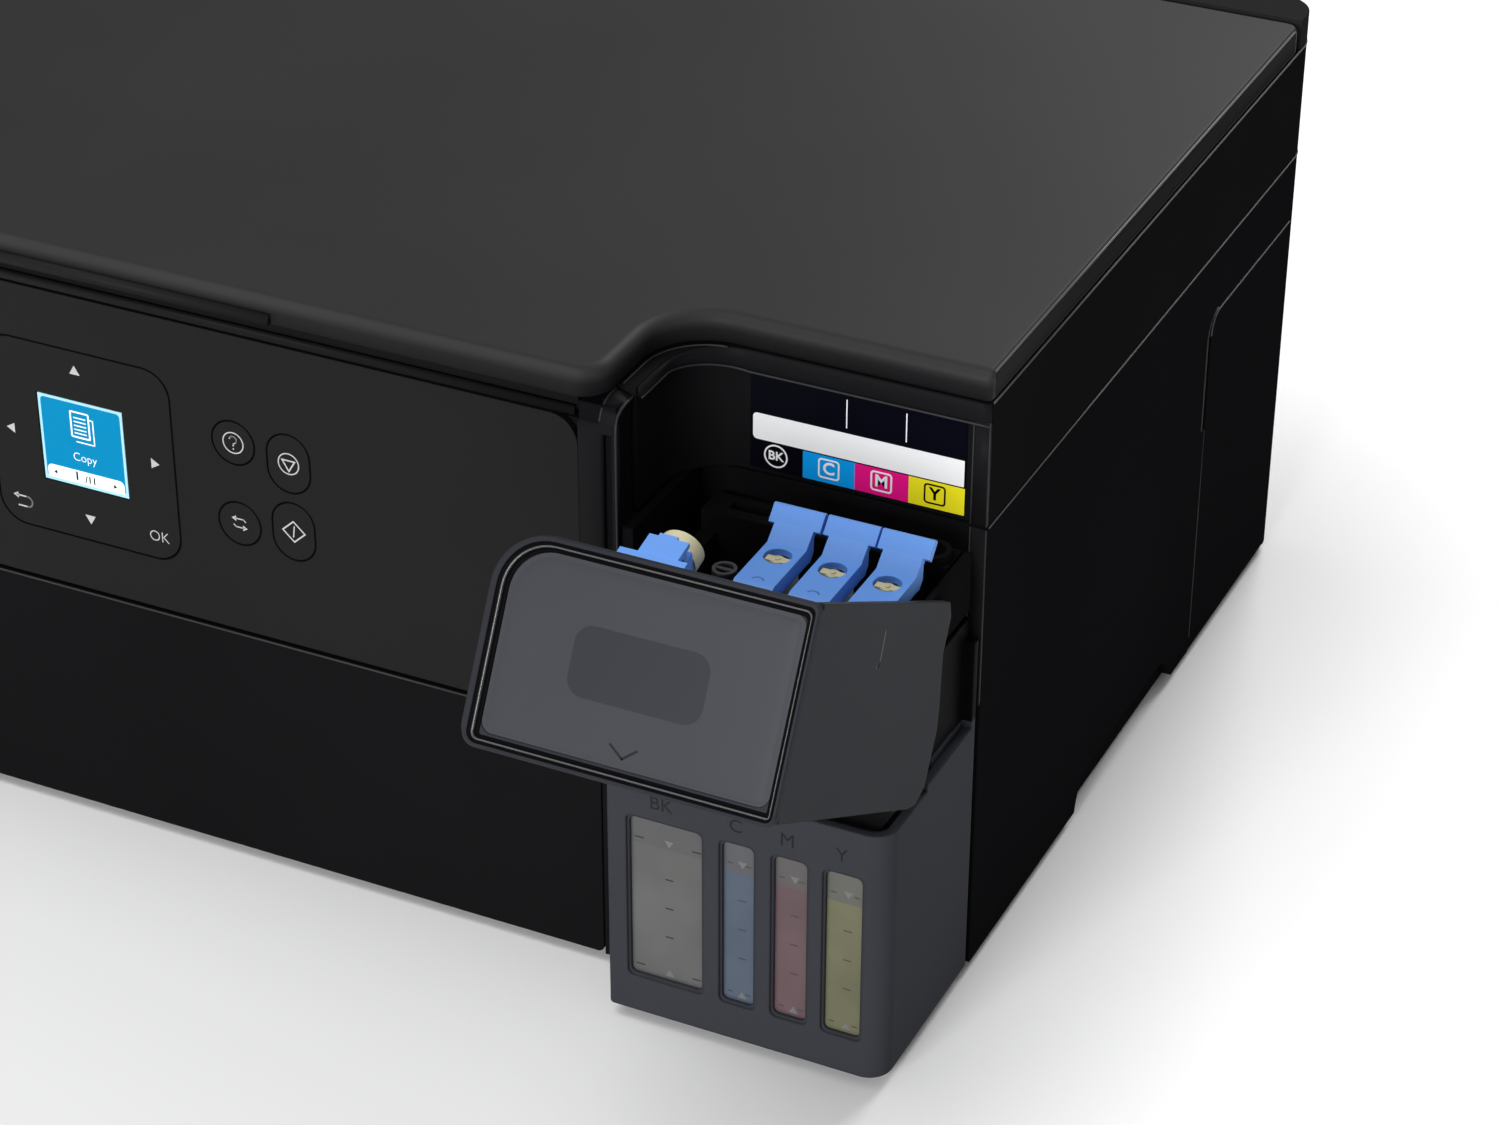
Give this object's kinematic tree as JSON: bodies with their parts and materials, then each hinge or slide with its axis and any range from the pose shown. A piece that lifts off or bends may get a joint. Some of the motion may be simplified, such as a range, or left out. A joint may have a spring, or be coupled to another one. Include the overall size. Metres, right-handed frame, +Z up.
{
  "type": "ink-tank multifunction printer",
  "caption": "Flatbed multifunction inkjet printer with a side ink-tank bay, hinged tank cover, lever caps, tilting control panel and sliding paper tray.",
  "frame": {"origin": "under the middle of the bounding box of the stored pose, on the surface that the feet stand on", "axes": "+X to the machine's right, +Y to its back, +Z up; the control panel faces -Y"},
  "size_m": [0.375, 0.4152, 0.1845],
  "materials": {
    "case_black": "fine matt black moulding",
    "lid_black": "matt dark grey moulding",
    "panel_black": "satin black fascia",
    "key_black": "satin black keys with pale marks",
    "tank_grey": "matt blue-grey moulding",
    "cover_grey": "matt grey insert",
    "cap_blue": "satin sky-blue moulding",
    "seal_cream": "cream elastomer",
    "tank_clear": "cloudy translucent",
    "label": "printed film",
    "screen": "lit display",
    "pad_white": "white foam-backed sheet",
    "glass": "clear float glass",
    "steel": "zinc-plated",
    "rubber": "black rubber",
    "board": "solder-mask green",
    "inner_dark": "dark grey inner moulding"
  },
  "bodies": {
    "base": {"main_case": "case_black", "base_plate": "case_black", "feet": "rubber", "case_screws": "steel", "rear_side_cover": "case_black", "rear_housing": "case_black", "tank_housing": "tank_grey", "tank_deck": "inner_dark", "tank_black": "tank_clear", "tank_cyan": "tank_clear", "tank_magenta": "tank_clear", "tank_yellow": "tank_clear", "engine_frame": "steel", "guide_shaft": "steel", "carriage_motor": "inner_dark", "timing_belt": "inner_dark", "platen": "inner_dark", "capping_station": "inner_dark", "main_board": "board", "power_supply": "inner_dark", "ac_inlet": "inner_dark", "usb_port": "steel"},
    "scanner_unit": {"scanner_case": "case_black", "scanner_glass": "glass", "scanner_rod": "steel", "ink_label": "label"},
    "cis": {"cis_carriage": "inner_dark"},
    "document_cover": {"lid_panel": "lid_black", "lid_pad": "pad_white"},
    "control_panel": {"panel_fascia": "panel_black", "panel_back": "inner_dark", "lcd_module": "screen"},
    "tray": {"output_tray": "inner_dark"},
    "extension": {"tray_extension": "inner_dark"},
    "front_flap": {"front_cover": "case_black"},
    "tank_cover": {"cover_shell": "tank_grey", "cover_panel": "cover_grey"},
    "feeder_flap": {"feeder_guard": "case_black"},
    "support": {"paper_support": "case_black"},
    "left_guide": {"guide_left": "inner_dark"},
    "right_guide": {"guide_right": "inner_dark"},
    "rear_hatch": {"rear_cover": "case_black"},
    "carriage": {"carriage_case": "inner_dark", "print_head": "steel"},
    "feed_shaft": {"feed_roller": "rubber"},
    "exit_shaft": {"exit_roller": "rubber"},
    "button_nav": {"key_nav": "key_black"},
    "button_help": {"key_help": "key_black"},
    "button_swap": {"key_swap": "key_black"},
    "button_stop": {"key_stop": "key_black"},
    "button_start": {"key_start": "key_black"},
    "button_power": {"key_power": "key_black"},
    "lever_black": {"cap_black": "cap_blue", "seal_black": "seal_cream"},
    "lever_cyan": {"cap_cyan": "cap_blue", "seal_cyan": "seal_cream"},
    "lever_magenta": {"cap_magenta": "cap_blue", "seal_magenta": "seal_cream"},
    "lever_yellow": {"cap_yellow": "cap_blue", "seal_yellow": "seal_cream"}
  },
  "joints": [
    {"name": "scanner_lift", "type": "hinge", "parent": "base", "child": "scanner_unit", "pos_m": [0, 0.1761, 0.139], "axis": [-1, 0, 0], "range_deg": [0, 38]},
    {"name": "lid_open", "type": "hinge", "parent": "scanner_unit", "child": "document_cover", "pos_m": [0, 0.1599, 0.1826], "axis": [-1, 0, 0], "range_deg": [0, 80]},
    {"name": "cis_travel", "type": "slide", "parent": "scanner_unit", "child": "cis", "axis": [1, 0, 0], "range_m": [0, 0.3]},
    {"name": "panel_tilt", "type": "hinge", "parent": "base", "child": "control_panel", "pos_m": [0, -0.115, 0.159], "axis": [-1, 0, 0], "range_deg": [0, 45]},
    {"name": "tray_pull", "type": "slide", "parent": "base", "child": "tray", "axis": [0, -1, 0], "range_m": [0, 0.08]},
    {"name": "extension_pull", "type": "slide", "parent": "tray", "child": "extension", "axis": [0, -1, 0], "range_m": [0, 0.08]},
    {"name": "flap_open", "type": "hinge", "parent": "extension", "child": "front_flap", "pos_m": [0, -0.1143, 0.009], "axis": [1, 0, 0], "range_deg": [0, 90]},
    {"name": "cover_close", "type": "hinge", "parent": "base", "child": "tank_cover", "pos_m": [0.146, -0.127, 0.09925], "axis": [1, 0, 0], "range_deg": [-61.7, 0]},
    {"name": "cap_black_turn", "type": "hinge", "parent": "base", "child": "lever_black", "pos_m": [0.1301, -0.134, 0.1296], "axis": [1, 0, 0], "range_deg": [-103.1, 0]},
    {"name": "cap_cyan_open", "type": "hinge", "parent": "base", "child": "lever_cyan", "pos_m": [0.1448, -0.134, 0.1296], "axis": [1, 0, 0], "range_deg": [0, 103]},
    {"name": "cap_magenta_open", "type": "hinge", "parent": "base", "child": "lever_magenta", "pos_m": [0.1598, -0.134, 0.1296], "axis": [1, 0, 0], "range_deg": [0, 103]},
    {"name": "cap_yellow_open", "type": "hinge", "parent": "base", "child": "lever_yellow", "pos_m": [0.1746, -0.134, 0.1296], "axis": [1, 0, 0], "range_deg": [0, 103]},
    {"name": "feeder_open", "type": "hinge", "parent": "base", "child": "feeder_flap", "pos_m": [-0.02, 0.1967, 0.1358], "axis": [-1, 0, 0], "range_deg": [0, 90]},
    {"name": "support_raise", "type": "slide", "parent": "base", "child": "support", "axis": [0, 0, -1], "range_m": [-0.085, 0]},
    {"name": "guide_left_slide", "type": "slide", "parent": "base", "child": "left_guide", "axis": [1, 0, 0], "range_m": [0, 0.055]},
    {"name": "guide_right_slide", "type": "slide", "parent": "base", "child": "right_guide", "axis": [1, 0, 0], "range_m": [-0.055, 0]},
    {"name": "rear_hatch_pull", "type": "slide", "parent": "base", "child": "rear_hatch", "axis": [0, 1, 0], "range_m": [0, 0.06]},
    {"name": "carriage_travel", "type": "slide", "parent": "base", "child": "carriage", "axis": [1, 0, 0], "range_m": [-0.235, 0]},
    {"name": "feed_spin", "type": "hinge", "parent": "base", "child": "feed_shaft", "pos_m": [-0.02, 0.0913, 0.05], "axis": [1, 0, 0], "continuous": true},
    {"name": "exit_spin", "type": "hinge", "parent": "base", "child": "exit_shaft", "pos_m": [-0.02, 0.0243, 0.05], "axis": [1, 0, 0], "continuous": true},
    {"name": "press_nav", "type": "slide", "parent": "control_panel", "child": "button_nav", "axis": [0, 1, 0], "range_m": [0, 0.0005], "stiffness_N_per_m": 300},
    {"name": "press_help", "type": "slide", "parent": "control_panel", "child": "button_help", "axis": [0, 1, 0], "range_m": [0, 0.0005], "stiffness_N_per_m": 300},
    {"name": "press_swap", "type": "slide", "parent": "control_panel", "child": "button_swap", "axis": [0, 1, 0], "range_m": [0, 0.0005], "stiffness_N_per_m": 300},
    {"name": "press_stop", "type": "slide", "parent": "control_panel", "child": "button_stop", "axis": [0, 1, 0], "range_m": [0, 0.0005], "stiffness_N_per_m": 300},
    {"name": "press_start", "type": "slide", "parent": "control_panel", "child": "button_start", "axis": [0, 1, 0], "range_m": [0, 0.0005], "stiffness_N_per_m": 300},
    {"name": "press_power", "type": "slide", "parent": "control_panel", "child": "button_power", "axis": [0, 1, 0], "range_m": [0, 0.0005], "stiffness_N_per_m": 300}
  ],
  "couplings": [
    {"joint": "guide_right_slide", "follows": "guide_left_slide", "ratio": -1},
    {"joint": "cap_black_turn", "follows": "cover_close", "ratio": 1.6694},
    {"joint": "exit_spin", "follows": "feed_spin", "ratio": 1.2}
  ]
}
